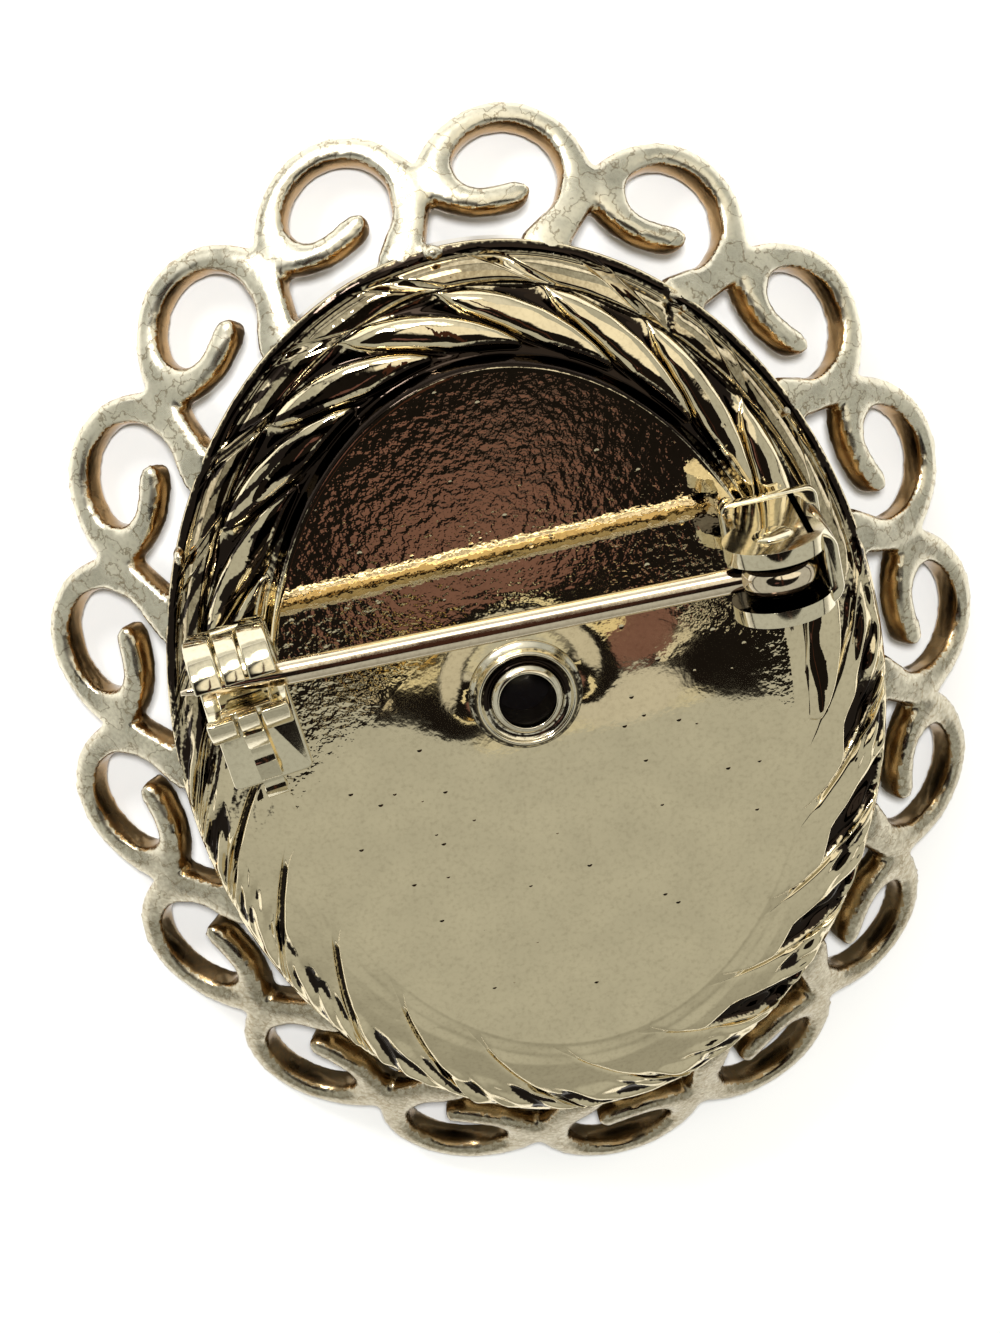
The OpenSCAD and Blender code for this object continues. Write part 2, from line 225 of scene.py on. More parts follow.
def join(name, parts):
    """One object from several, which are removed."""
    verts, faces, base = [], [], 0
    for ob in parts:
        verts += [tuple(ob.matrix_world @ v.co) for v in ob.data.vertices]
        faces += [tuple(base + i for i in p.vertices) for p in ob.data.polygons]
        base += len(ob.data.vertices)
        bpy.data.objects.remove(ob)
    mesh = bpy.data.meshes.new(name)
    mesh.from_pydata(verts, [], faces)
    mesh.update()
    return linked(name, mesh)


def set_marks(ob, name, values):
    """Keeps a number from 0 to 1 for each vertex, which the materials read."""
    marks = ob.data.attributes.new(name, "FLOAT", "POINT")
    marks.data.foreach_set("value", np.clip(values, 0, 1).astype(np.float32))


def corners(ob):
    """The places, in millimetres, and the normals of a mesh's vertices."""
    vertices = ob.data.vertices
    places = np.empty(3 * len(vertices), np.float32)
    normals = np.empty(3 * len(vertices), np.float32)
    vertices.foreach_get("co", places)
    vertices.foreach_get("normal", normals)
    return places.reshape(-1, 3) / MM, normals.reshape(-1, 3)


# The scroll border

PATH_STEPS = 6
SECTION_POINTS = 12
# How boxy the strips' section is: 2 is an ellipse
BOXY = 5
# A strut sinks by this into the rail, over this share of the slant
ROOT_SINK = 0.07
ROOT = 0.09
# A rail under the rim, which the struts run into: its outline as (share of the slant, depth)
RAIL_POINTS = 420
RAIL = ((-0.055, 0.2), (0.025, 0.12), (0.025, 1.2), (-0.055, 1.2))
# Two nubs of the casting, a round one on the rim and an upright one at the left: centre over the rim's
# height, and half sizes
NUBS = (((-0.45, 20.7, 0.05), (0.40, 0.40, 0.40)), ((-13.9, 9.7, 0.1), (0.25, 0.45, 0.6)))
# The skin's grain in millimetres, and how often it is smoothed
VOXEL = 0.17
SMOOTHINGS = 5


def strip_points(k):
    """Sections of the k-th scroll strip, each a rounded box."""
    rows = spline(SCROLL, PATH_STEPS)
    share = (k + rows[:, 0]) / LOOPS
    s = rows[:, 1] * SLANT
    n = cone_normal(share)
    sink = ROOT_SINK * np.clip(1 - s / (ROOT * SLANT), 0, 1)
    middle = cone_point(share, s) - n * sink[:, None]
    across = np.cross(n, np.gradient(middle, axis=0))
    across /= np.linalg.norm(across, axis=1, keepdims=True)
    ang = (np.arange(SECTION_POINTS) + 0.5) / SECTION_POINTS * 2 * math.pi
    cx, cz = np.cos(ang), np.sin(ang)
    q = (np.abs(cx) ** BOXY + np.abs(cz) ** BOXY) ** (-1 / BOXY)
    cx, cz = cx * q, cz * q
    half = STRIP_W * np.minimum(rows[:, 2], WIDEST) / 2 + SMOOTHED
    return (middle[:, None, :] + across[:, None, :] * (half[:, None] * cx[None, :])[..., None]
            + n[:, None, :] * ((STRIP_T / 2 + SMOOTHED) * cz - STRIP_T / 2)[None, :, None])


def scroll_border():
    verts, faces, base = [], [], 0
    for k in range(LOOPS):
        pts = strip_points(k)
        sections, n = pts.shape[:2]
        verts.append(pts.reshape(-1, 3))
        faces += tube_faces(sections, n, base)
        base += sections * n
    share = np.arange(RAIL_POINTS) / RAIL_POINTS
    n = cone_normal(share)
    rail = [cone_point(share, np.full(RAIL_POINTS, s * SLANT)) - n * depth for s, depth in RAIL]
    verts.append(np.stack(rail, 1).reshape(-1, 3))
    faces += tube_faces(RAIL_POINTS, len(RAIL), base, closed=True)
    base += len(RAIL) * RAIL_POINTS
    for (x, y, z), size in NUBS:
        ball = bmesh.new()
        bmesh.ops.create_uvsphere(ball, u_segments=16, v_segments=10, radius=1)
        place = (x, y, RIM_Z + z)
        verts.append(np.array([[c * w + o for c, w, o in zip(v.co, size, place)] for v in ball.verts]))
        faces += [tuple(base + v.index for v in face.verts) for face in ball.faces]
        base += len(ball.verts)
        ball.free()
    ob = mesh_object("scroll_border", np.concatenate(verts), faces)
    recalc(ob)
    # The strips, the rail and the nubs run into one cast skin
    remesh = ob.modifiers.new("remesh", "REMESH")
    remesh.mode = "VOXEL"
    remesh.voxel_size = VOXEL * MM
    remesh.use_smooth_shade = True
    soften = ob.modifiers.new("smooth", "SMOOTH")
    soften.factor = 0.5
    soften.iterations = SMOOTHINGS
    apply_modifiers(ob)
    # Painted shade: its tone is greyer towards the brooch's bottom
    set_marks(ob, "shade", 0.60 * ramp(-corners(ob)[0][:, 1], -16, 22))
    return ob


def mark_walls(ob, index):
    """Gives the faces that stand across the border's slope another material slot, which holds a darker gold:
    painted shade.
    """
    steep = 0.45
    for face in ob.data.polygons:
        x, y, _ = face.center
        flat = Vector((x / RIM[0] ** 2, y / RIM[1] ** 2, 0)).normalized() * math.sin(CONE)
        if face.normal.dot(Vector((flat.x, flat.y, math.cos(CONE)))) < steep:
            face.material_index = index


# The casting: plate, band, rim and bezel

HOLE = np.array([-0.4, 0.9])
HOLE_R = 1.62
PLATE_STEPS = (0.0, 0.04, 0.08, 0.12, 0.16, 0.21, 0.27, 0.35, 0.45, 0.60, 0.80, 0.93, 0.985)
BAND_STEPS = np.r_[np.linspace(0, 0.14, 11), np.linspace(0.155, 0.64, 30), np.linspace(0.65, 1.0, 23)]
# A ring of points has some across each strand and some over the gap to the next strand
LEAF_POINTS = 34
GAP_POINTS = 14
STRAND_POINTS = LEAF_POINTS + GAP_POINTS
RING_POINTS = STRANDS * STRAND_POINTS
STRAND = np.arange(STRANDS)
# For each point of a ring: its strand, its place with even spacing, its place across the strand from -1 to 1
# and over the gap from 0 to 1, and 1 if it is on a strand
WHOLE = np.repeat(STRAND, STRAND_POINTS)
EVEN = np.arange(RING_POINTS) / STRAND_POINTS
ACROSS = np.tile(np.r_[np.sin(np.linspace(-1, 1, LEAF_POINTS) * math.pi / 2), np.zeros(GAP_POINTS)], STRANDS)
OVER_GAP = np.tile(np.r_[np.zeros(LEAF_POINTS), np.linspace(0, 1, GAP_POINTS + 2)[1:-1]], STRANDS)
ON_STRAND = np.tile(np.r_[np.ones(LEAF_POINTS), np.zeros(GAP_POINTS)], STRANDS)

# Where features start, are full, are still full and end, in shares of the band's width
BED = (0.12, 0.20, 0.60, 0.66)
LOW_BED = (0.26, 0.36, 0.74, 0.84)
POCKETS = (0.45, 0.52, 0.92, 0.97)
CRUMPLE = (0.58, 0.74, 0.95, 1.0)
MOULDING = (0.67, 0.72, 0.90, 0.97)
COVE = (-0.01, 0.02, 0.15, 0.22)
# The same in shares of the turn: strands half a pitch further on, pockets, and flecks of painted shade
LATE_STRANDS = (0.12, 0.26, 0.64, 0.84)
RIGHT_SIDE = (0.262, 0.282, 0.44, 0.47)
LEFT_SIDE = (0.70, 0.77, 0.90, 0.97)
# Lines of painted shade in the grooves on both sides of the moulding: place and width in shares of the
# band's width
GROOVE_LINES = ((0.665, 0.018), (0.96, 0.045))
# Heights of the relief in millimetres
GROOVE, LOW_GROOVE, POCKET, NOTCH = -0.14, -0.16, -0.42, -0.25
RIPPLE, CRUMPLED, FACETED = 0.035, 0.34, 0.22
DIP, DIP_REACH = 0.022, 1.5
# In pitches: a strand's largest half width, how far on the late strands lie, and how far a strand leans
# over the band's width in the lower half and more in the upper half
FULLEST = 0.485
LATE = 0.55
LEAN, LEAN_MORE = 1.5, 1.1


def wobble(x, y, seed, scale):
    """Smooth noise from -1 to 1 at each place."""
    return np.array([noise.noise(Vector((a * scale, b * scale, seed))) for a, b in
                     zip(np.ravel(x), np.ravel(y))]).reshape(np.shape(x))


def blend(table, f):
    """The columns of a table at a value of its first one."""
    return [np.interp(f, table[:, 0], table[:, c]) for c in range(1, table.shape[1])]


def high_at(share):
    """1 in the brooch's upper half, 0 in its lower half."""
    return ramp(np.sin(rim_angle(share)), -0.12, 0.30)


def placed(f):
    """The share of the turn of each point of the ring at f, and its strand's height there."""
    strand_high = high_at((STRAND + 0.5) / STRANDS)
    leaf_w, leaf_h = blend(LEAF, f)
    flat_w, flat_h = blend(FLAT, f)
    # Widths and heights differ a little from strand to strand
    half = (leaf_w * strand_high + flat_w * (1 - strand_high)) * (1 + 0.05 * np.sin(STRAND * 7.1))
    half = np.minimum(half, FULLEST)
    tall = (leaf_h * strand_high + flat_h * (1 - strand_high)) * (1 + 0.14 * np.sin(STRAND * 12.9))
    here, after = half[WHOLE], half[(WHOLE + 1) % STRANDS]
    x = WHOLE + 0.5 + np.where(ON_STRAND > 0, here * ACROSS, here + (1 - here - after) * OVER_GAP)
    x = EVEN + (x - EVEN) * ramp(f, 0.0, 0.12)
    late = LATE * window(x / STRANDS, *LATE_STRANDS)
    lean = (0.45 - f) * (LEAN + LEAN_MORE * high_at(x / STRANDS))
    return (x + late + lean) / STRANDS, tall[WHOLE]


def hole_line(t):
    return HOLE + HOLE_R * np.stack([np.cos(t), np.sin(t)], -1)


def plate_rings():
    """Rings from the eyelet's hole to the plate's edge; the plate dips a little above the eyelet."""
    t = rim_angle(placed(0.0)[0])
    dip = DIP * ramp(np.sin(t), -0.4, 0.5)
    rings = []
    for step in PLATE_STEPS:
        p = hole_line(t) + (oval(PLATE, t) - hole_line(t)) * step
        reach = np.hypot(*(p - HOLE).T) - HOLE_R
        rings.append(np.c_[p, PLATE_Z - dip * np.exp(-(reach / DIP_REACH) ** 2)])
    return rings


def band_ring(f):
    """A ring of the band at a share of its width, and its marks of painted dark shade and of painted grey
    shade.
    """
    share, tall = placed(f)
    t = rim_angle(share)
    high = high_at(share)
    low = 1 - high
    # A strand is round in the upper half and leans like a shingle in the lower half
    round_top = 0.7 * np.clip(1 - ACROSS ** 6, 0, 1) ** 0.5 + 0.3 * np.clip(1 - ACROSS ** 2, 0, 1)
    shingle = np.clip(1 - ACROSS ** 10, 0, 1) ** 0.5 * (0.75 + 0.40 * ACROSS)
    lift = tall * (round_top * high + shingle * low) * ON_STRAND
    # Grooves between the strands
    groove = np.sin(math.pi * OVER_GAP) ** 0.7 * (1 - ON_STRAND)
    bed = window(f, *BED)
    low_bed = window(f, *LOW_BED)
    lift += groove * (GROOVE * bed * high + LOW_GROOVE * low_bed * low)
    # Sunk pockets between the strands' outer ends on the right
    pocket = window(share, *RIGHT_SIDE) * window(f, *POCKETS) * ON_STRAND
    pocket *= window(ACROSS, 0.0, 0.22, 0.86, 0.96)
    lift += POCKET * pocket
    p = oval(PLATE + (RIM - PLATE) * f, t)
    lift += RIPPLE * ramp(f, 0.02, 0.2) * wobble(p[:, 0], p[:, 1], 3.1, 0.9)
    # Crumpled ends near the rim in the lower half
    crumple = low * window(f, *CRUMPLE)
    crumb = wobble(EVEN * 5.5, np.full(RING_POINTS, f * 2.6), 5.7, 2.2)
    lift += CRUMPLED * crumple * crumb
    # Slanting facets on the moulding
    facet = wobble(EVEN * 2.6, np.full(RING_POINTS, f * 2.0), 2.2, 1.0)
    lift += FACETED * facet * high * window(f, *MOULDING)
    # A notch where two lengths of the moulding meet
    notch = np.exp(-((share - 0.098 + 0.012 * (f - 0.8)) / 0.0016) ** 2) * ramp(f, 0.66, 0.72)
    lift += NOTCH * notch
    slope = math.atan(BAND_H / BAND_W)
    p = p + outward(t) * (lift * math.sin(slope))[:, None]
    z = blend(COVED, f)[0] * high + blend(DOMED, f)[0] * low
    ring = np.c_[p, PLATE_Z + z * BAND_H + lift * math.cos(slope)]

    # Painted shade: the moulding's tone is greyer in the upper half, patchy with its facets
    shade = (0.55 + 0.6 * facet) * high * ramp(f, 0.66, 0.70)
    # Painted shade lies in flecks on the left side's strands
    blot = wobble(EVEN * 6.5, np.full(RING_POINTS, f * 3.4), 8.1, 1.8)
    shaded_flecks = window(share, *LEFT_SIDE) * ramp(blot, -0.05, 0.20) * ramp(f, 0.14, 0.2)
    top = ramp(np.sin(t), 0.25, 0.80)
    # Painted dark shade in the grooves between strands, the cove at the top, the left side's flecks, the
    # crumple's hollows, the pockets, the notch and the lines beside the moulding
    dark_shade = [high * bed * groove, 0.85 * low * low_bed * groove, top * window(f, *COVE), shaded_flecks,
               crumple * ramp(-crumb, 0.12, 0.34), pocket, notch]
    dark_shade += [high * math.exp(-((f - line) / wide) ** 2) for line, wide in GROOVE_LINES]
    return ring, np.max(dark_shade, axis=0), shade


def under_rings():
    """Rings of the rim, the bezel's wall and lip, the stone's seat and the plate's inner side."""
    t = rim_angle(placed(1.0)[0])
    lines = ((RIM + 0.05, RIM_Z - 0.06), (RIM + 0.05, RIM_Z - 0.2), (RIM - 0.02, RIM_Z - 0.4),
             (RIM - 0.33, LIP_Z + 0.08), (RIM - 0.38, LIP_Z + 0.01), (RIM - 0.48, LIP_Z - 0.02),
             (OPENING - 0.15, LIP_Z), (OPENING - 0.2, LIP_Z + 0.05), (OPENING - 0.2, LIP_Z + 0.2),
             (OPENING, LIP_Z + 0.5), (OPENING, SEAT_Z), (OPENING - 1.4, SEAT_Z),
             (PLATE - 0.4, PLATE_Z - PLATE_T), (PLATE * 0.6, PLATE_Z - PLATE_T))
    rings = [np.c_[oval(half, t), np.full(RING_POINTS, z)] for half, z in lines]
    return rings + [np.c_[hole_line(t), np.full(RING_POINTS, PLATE_Z - PLATE_T)]]


def casting():
    """Rings from the eyelet's hole over the plate, the band, the rim and the bezel, and back underneath."""
    plate, under = plate_rings(), under_rings()
    band, dark_shade, shade = zip(*[band_ring(f) for f in BAND_STEPS])
    rings = plate + list(band) + under
    ob = mesh_object("casting", np.concatenate(rings), tube_faces(len(rings), RING_POINTS, closed=True))
    recalc(ob)
    # Painted shade lies only on the band's rings, none on the plate's and the underside's
    shade_share = np.zeros(RING_POINTS)
    for name, marks in (("recess", dark_shade), ("shade", shade)):
        set_marks(ob, name, np.concatenate([shade_share] * len(plate) + list(marks) + [shade_share] * len(under)))
    return ob


# Round and flat pieces of the fittings

def turned(name, profile, n, closed=False):
    """A solid round Z from (radius, height) pairs; a closed profile makes a ring."""
    ang = np.arange(n) / n * 2 * math.pi
    verts = [(r * math.cos(a), r * math.sin(a), z) for r, z in profile for a in ang]
    ob = mesh_object(name, verts, tube_faces(len(profile), n, closed=closed))
    recalc(ob)
    return ob


# From an outline's two coordinates and the place across to x, y, z
SLABS = {"X": lambda a, b, c: (c, a, b), "Y": lambda a, b, c: (a, c, b), "Z": lambda a, b, c: (a, b, c)}


def prism(name, outline, width, axis, round_edge, segments=3):
    """A slab across an axis from an outline: X slabs take (y, z), Y slabs (x, z), Z slabs (x, y)."""
    n = len(outline)
    verts = [SLABS[axis](a, b, c) for c in (-width / 2, width / 2) for a, b in outline]
    faces = [tuple(reversed(range(n))), tuple(range(n, 2 * n))]
    faces += [(i, (i + 1) % n, n + (i + 1) % n, n + i) for i in range(n)]
    ob = mesh_object(name, verts, faces)
    recalc(ob)
    bevel(ob, round_edge, segments)
    return ob


def moved(ob, matrix):
    ob.data.transform(matrix)
    return ob


def shift(x, y, z):
    return Matrix.Translation((x * MM, y * MM, z * MM))


def turn(angle, axis):
    return Matrix.Rotation(angle, 4, axis)


def arc(cx, cy, r, a0, a1, n):
    """n points of an arc between two angles in degrees."""
    return [(cx + r * math.cos(math.radians(a)), cy + r * math.sin(math.radians(a)))
            for a in np.linspace(a0, a1, n)]


def rounded(x0, y0, x1, y1, r):
    """A rectangle's outline with rounded corners."""
    return (arc(x1 - r, y1 - r, r, 0, 90, 7) + arc(x0 + r, y1 - r, r, 90, 180, 7)
            + arc(x0 + r, y0 + r, r, 180, 270, 7) + arc(x1 - r, y0 + r, r, 270, 360, 7))


# The hinge's and the catch's axes, as in the CAD frame: their places and their heights over the plate
PIN_Y = 5.95
HINGE_X, HINGE_H = 10.95, 5.0
CATCH_X, CATCH_H = -12.55, 4.0
CATCH_TURN = math.radians(6)
FOOT_T = 0.6
# Profiles close on the axis with a tiny radius
TINY = 0.01


def at_hinge(ob, matrix=Matrix()):
    return moved(ob, shift(HINGE_X, PIN_Y, PLATE_Z + HINGE_H) @ matrix)


def at_catch(ob):
    return moved(ob, shift(CATCH_X, PIN_Y, PLATE_Z + CATCH_H) @ turn(CATCH_TURN, "Z"))


def hinge_bracket():
    """Two ears, the bend that joins them at the back, and a foot."""
    ear_r, sheet, inner, back = 2.2, 0.7, 1.0, 1.9
    outer = inner + sheet
    # An ear is a round eye on a leg
    leg_front, leg_back, shoulder, bottom = -1.3, 1.7, -1.4, -4.7
    ear = [(leg_front, bottom), (leg_back, bottom), (leg_back, shoulder)]
    ear += arc(0, 0, ear_r, -39.4, 233.8, 44)
    parts = []
    for side in (-1, 1):
        ob = prism("ear", ear, sheet, "Y", 0.345, 6)
        parts.append(moved(ob, shift(0, side * (inner + sheet / 2), 0)))
    start, corner, top = 1.2, 0.9, 0.9

    def bend(x, y, r, n):
        """A line that goes back to x on one side and returns on the other, with corners of radius r."""
        curve = arc(x - r, -y + r, r, -90, 0, n) + arc(x - r, y - r, r, 0, 90, n)
        return [(start, -y)] + curve + [(start, y)]

    outline = bend(back + sheet, outer, corner, 10) + bend(back, inner, corner - sheet, 8)[::-1]
    ob = prism("back", outline, top - bottom, "Z", 0.28, 4)
    parts.append(moved(ob, shift(0, 0, (top + bottom) / 2)))
    foot = prism("foot", rounded(-1.6, -1.8, 2.75, 1.8, 0.5), FOOT_T, "Z", 0.15)
    parts.append(moved(foot, shift(0, 0, FOOT_T / 2 - HINGE_H)))
    ob = join("hinge_ears", parts)
    # Painted shade: the ears' inner sides, in the gap around the pin's eye, are dark
    places, normals = corners(ob)
    between = (np.abs(places[:, 1]) < inner + 0.1) & (places[:, 2] > FOOT_T - HINGE_H)
    between &= places[:, 0] < back + 0.1
    set_marks(ob, "recess", between & (np.abs(normals[:, 1]) > 0.6))
    return at_hinge(ob)


def hinge_rivet():
    """A short rod with a low domed head at each end."""
    r, half = 0.6, 1.7
    head = [(TINY, half + 0.16), (0.5, half + 0.15), (0.78, half + 0.10), (0.9, half), (r, half - 0.01)]
    ob = turned("hinge_pin", head + [(a, -b) for a, b in reversed(head)], 48)
    return at_hinge(ob, turn(math.pi / 2, "X"))


def pin():
    """The wire with its tapered tip, and the rolled eye at its other end."""
    r, start, length, taper = 0.55, 1.2, 26.0, 4.5
    body = [(TINY, start), (r, start)] + [(r, z) for z in np.linspace(1.6, length - taper, 30)]
    body += [(r * (1 - f) ** 0.8 * 0.82 + 0.1, length - taper * (1 - f)) for f in np.linspace(0.06, 1, 14)]
    body += [(TINY, length)]
    wire = turned("wire", body, 40)
    drop = math.asin((HINGE_H - CATCH_H) / (HINGE_X - CATCH_X))
    moved(wire, turn(-math.pi / 2 - drop, "Y"))
    # The eye is crowned round its middle
    half, eye_r, bore, crown = 0.66, 1.75, 0.66, 0.50
    edge = eye_r - crown
    outline = [(bore, -half), (edge, -half)]
    outline += [(eye_r - crown * (1 - math.cos(a)), half * math.sin(a))
                for a in np.linspace(-1.25, 1.25, 11)]
    outline += [(edge, half), (bore, half)]
    eye = turned("eye", outline, 64, closed=True)
    bevel(eye, 0.06, 2, 50)
    moved(eye, turn(math.pi / 2, "X"))
    ob = join("pin_wire", [wire, eye])
    # Painted shade: the eye's flat sides, in the gaps beside the ears, are dark
    places, normals = corners(ob)
    near_axis = np.hypot(places[:, 0], places[:, 2]) < eye_r
    set_marks(ob, "recess", (np.abs(normals[:, 1]) > 0.8) & near_axis)
    return at_hinge(ob)


def c_outline(ro, ri, mouth):
    """A round C whose mouth looks up."""
    a_o = math.degrees(math.asin(mouth / 2 / ro))
    a_i = math.degrees(math.asin(mouth / 2 / ri))
    return arc(0, 0, ro, 90 + a_o, 450 - a_o, 56) + arc(0, 0, ri, 450 - a_i, 90 + a_i, 48)


def catch_rings():
    """Two C-shaped rings on legs, with a slot between them, and their foot."""
    ro, ri, mouth, length, slot = 2.3, 1.65, 1.5, 1.2, 1.2
    half, top, bottom = 1.2, -1.95, -3.6
    parts = []
    for side in (-1, 1):
        x = side * (slot + length) / 2
        ring = prism("ring", c_outline(ro, ri, mouth), length, "X", 0.1)
        parts.append(moved(ring, shift(x, 0, 0)))
        leg = prism("leg", [(-half, bottom), (half, bottom), (half, top), (-half, top)], length, "X", 0.08)
        parts.append(moved(leg, shift(x, 0, 0)))
    foot = prism("foot", rounded(-1.8, -6.243, 1.8, 1.2, 0.3), FOOT_T, "Z", 0.14)
    parts.append(moved(foot, shift(0, 0, FOOT_T / 2 - CATCH_H)))
    return at_catch(join("catch_rings", parts))


def catch_lever():
    """A C-shaped roller on a collar, with a long tongue."""
    tilt = math.radians(38)
    roller_r, collar_r, bore, mouth = 2.2, 1.6, 1.05, 1.5
    length, thick, width = 6.4, 0.55, 0.9
    roller = prism("roller", c_outline(roller_r, bore, mouth), width, "X", 0.07)
    collar = prism("collar", c_outline(collar_r, bore, mouth), 2.2, "X", 0.05)
    # The tongue: a straight strip with two hollows across it and a tip that curls up
    half = thick / 2
    top = [(-0.8, half), (-1.9, half)] + arc(-2.7, half + 0.56, 0.98, 325, 215, 13)
    top += [(-3.5, half), (-4.85, half)] + arc(-5.4, half + 0.385, 0.67, 325, 215, 11)
    top += [(-5.95, half)] + arc(-length - 0.05, 0, half, 80, 250, 12)
    outline = top + [(-0.8, -half)]
    tongue = prism("tongue", outline[::-1], width, "X", 0.07)
    tip = prism("tip", arc(0, -length + 0.1, width * 0.58, 0, 360, 33)[:-1], 0.3, "Z", 0.08)
    moved(tip, shift(0, 0, -half + 0.16))
    for ob in (tongue, tip):
        moved(ob, turn(tilt, "X") @ shift(0, 0, roller_r - thick / 2))
    return at_catch(join("safety_lever", [roller, collar, tongue, tip]))


# Radius, height and painted shade: the tube, its clinch, the skirt, the outer ring, a groove and the lip
EYELET = (
    (1.25, -1.32, 0), (1.8, -1.32, 0), (1.8, -1.02, 0), (1.6, -1.0, 0), (1.6, -0.1, 0),
    (2.54, -0.03, 1), (2.53, 0.04, 0.7), (2.45, 0.12, 0.5), (2.32, 0.22, 0.7), (2.24, 0.36, 1),
    (2.21, 0.50, 0.8), (2.17, 0.60, 0), (2.11, 0.64, 0), (2.05, 0.61, 0), (2.00, 0.52, 0),
    (1.90, 0.46, 1), (1.78, 0.42, 1), (1.67, 0.42, 1), (1.63, 0.50, 1), (1.61, 0.62, 0.2),
    (1.57, 0.69, 0), (1.47, 0.78, 0), (1.37, 0.86, 0), (1.30, 0.88, 0), (1.26, 0.83, 0), (1.25, 0.60, 0))


def eyelet():
    n = 96
    radius, height, dark_shade = np.array(EYELET).T
    ob = turned("eyelet_ring", list(zip(radius, height)), n, closed=True)
    # Painted shade, less of it on the groove's lower half and on the skirt's upper half
    up = np.sin(np.arange(n) / n * 2 * math.pi)
    groove = ((radius > 1.55) & (radius < 1.95))[:, None]
    shade_share = np.where(groove, 0.42 + 0.58 * ramp(up, -0.20, 0.05), 1 - 0.6 * ramp(up, 0.0, 0.6))
    set_marks(ob, "recess", (dark_shade[:, None] * shade_share).ravel())
    return moved(ob, shift(*HOLE, PLATE_Z))


# The cameo

# The stone's edge from its seat to its front, as depth and inset in shares of its height
STONE_EDGE = np.array([(0.0, 0.0), (0.40, 0.0), (0.46, 0.03), (0.56, 0.16), (0.75, 0.55), (0.90, 1.10),
                       (1.0, 2.0)])
# Layers of the rose's petals: how many, length, width, lift, cup, turn in degrees
ROSE = (
    (5, 6.6, 6.4, 0.30, 0.22, 0),
    (5, 5.0, 4.9, 0.55, 0.28, 36),
    (4, 3.4, 3.5, 0.75, 0.32, 10),
    (3, 2.0, 2.3, 0.85, 0.35, 50),
)
LEAF_TURNS = (65, 115, 245, 295)
PETAL_T = 0.35


def cameo():
    n = 144
    t = -np.arange(n) / n * 2 * math.pi
    rings = [np.c_[oval(STONE - inset * STONE_H, t), np.full(n, SEAT_Z - depth * STONE_H)]
             for depth, inset in spline(STONE_EDGE, 3)]
    ob = mesh_object("stone_oval", np.concatenate(rings), tube_faces(len(rings), n))
    recalc(ob)
    return ob


def petal(length, width, lift, cup, curl, blunt=0.0, n=9, m=11):
    """A cupped petal in the XY plane, root at the origin, facing +Z; a blunt one has a round end."""
    verts = []
    for i in range(n):
        f = i / (n - 1)
        half = width / 2 * math.sin(math.pi * min(1, f * (0.82 - 0.14 * blunt) + 0.12)) ** 0.7
        for j in range(m):
            g = -1 + 2 * j / (m - 1)
            x = length * (f - (0.10 + 0.20 * blunt) * g * g * f)
            z = lift * math.sin(f * 1.5) + cup * g * g * (0.4 + f) - curl * max(0, f - 0.75) ** 2 * 16
            verts.append((x, half * g, z))
    faces = [(i * m + j, i * m + j + 1, (i + 1) * m + j + 1, (i + 1) * m + j)
             for i in range(n - 1) for j in range(m - 1)]
    ob = mesh_object("petal", verts, faces)
    solid = ob.modifiers.new("solid", "SOLIDIFY")
    solid.thickness = PETAL_T * MM
    solid.offset = -1
    apply_modifiers(ob)
    return ob


def relief():
    """A rose of four layers of petals, and four leaves, made face up and flipped onto the stone's front."""
    parts = []
    for layer, (count, length, width, lift, cup, first) in enumerate(ROSE):
        for i in range(count):
            ob = petal(length, width, lift, cup, 0.10, 1.0)
            angle = math.radians(first + i * 360 / count)
            parts.append(moved(ob, turn(angle, "Z") @ shift(0, 0, 0.05 + 0.1 * layer)))
    for angle in LEAF_TURNS:
        ob = petal(8.5, 3.4, 0.12, 0.16, 0.05, n=13, m=9)
        parts.append(moved(ob, turn(math.radians(angle), "Z") @ shift(5.4, 0, 0.1)))
    ob = join("rose_relief", parts)
    moved(ob, shift(0, 0, FRONT_Z) @ Matrix.Diagonal((1, 1, -1, 1)))
    ob.data.flip_normals()
    return ob


# Shader nodes

def node(nt, kind, **inputs):
    n = nt.nodes.new(kind)
    for key, value in inputs.items():
        if hasattr(n, key):
            setattr(n, key, value)
        else:
            n.inputs[key.replace("_", " ")].default_value = value
    return n


def feed(nt, socket, value):
    """Sets an input to a number or a colour, or links another node's output to it."""
    if isinstance(value, bpy.types.NodeSocket):
        nt.links.new(value, socket)
    else:
        socket.default_value = value


def math_node(nt, operation, *values):
    n = node(nt, "ShaderNodeMath", operation=operation)
    for socket, value in zip(n.inputs, values):
        feed(nt, socket, value)
    return n.outputs[0]


def mapped(nt, value, lo, hi, start=0.0, end=1.0, kind="LINEAR"):
    """Maps the span from lo to hi of a value to the span from start to end."""
    n = node(nt, "ShaderNodeMapRange", interpolation_type=kind)
    for name, number in (("From Min", lo), ("From Max", hi), ("To Min", start), ("To Max", end)):
        n.inputs[name].default_value = number
    feed(nt, n.inputs["Value"], value)
    return n.outputs["Result"]


def mixed(nt, share, under, over):
    """One colour laid over another by a share."""
    n = node(nt, "ShaderNodeMix", data_type="RGBA")
    feed(nt, n.inputs["Factor"], share)
    for socket, colour in zip(n.inputs[6:8], (under, over)):
        feed(nt, socket, colour + (1,) if isinstance(colour, tuple) else colour)
    return n.outputs[2]


def clouds(nt, place, scale, detail):
    """Smooth noise; the scale is per metre."""
    n = node(nt, "ShaderNodeTexNoise", Scale=float(scale), Detail=detail)
    feed(nt, n.inputs["Vector"], place)
    return n.outputs["Fac"]


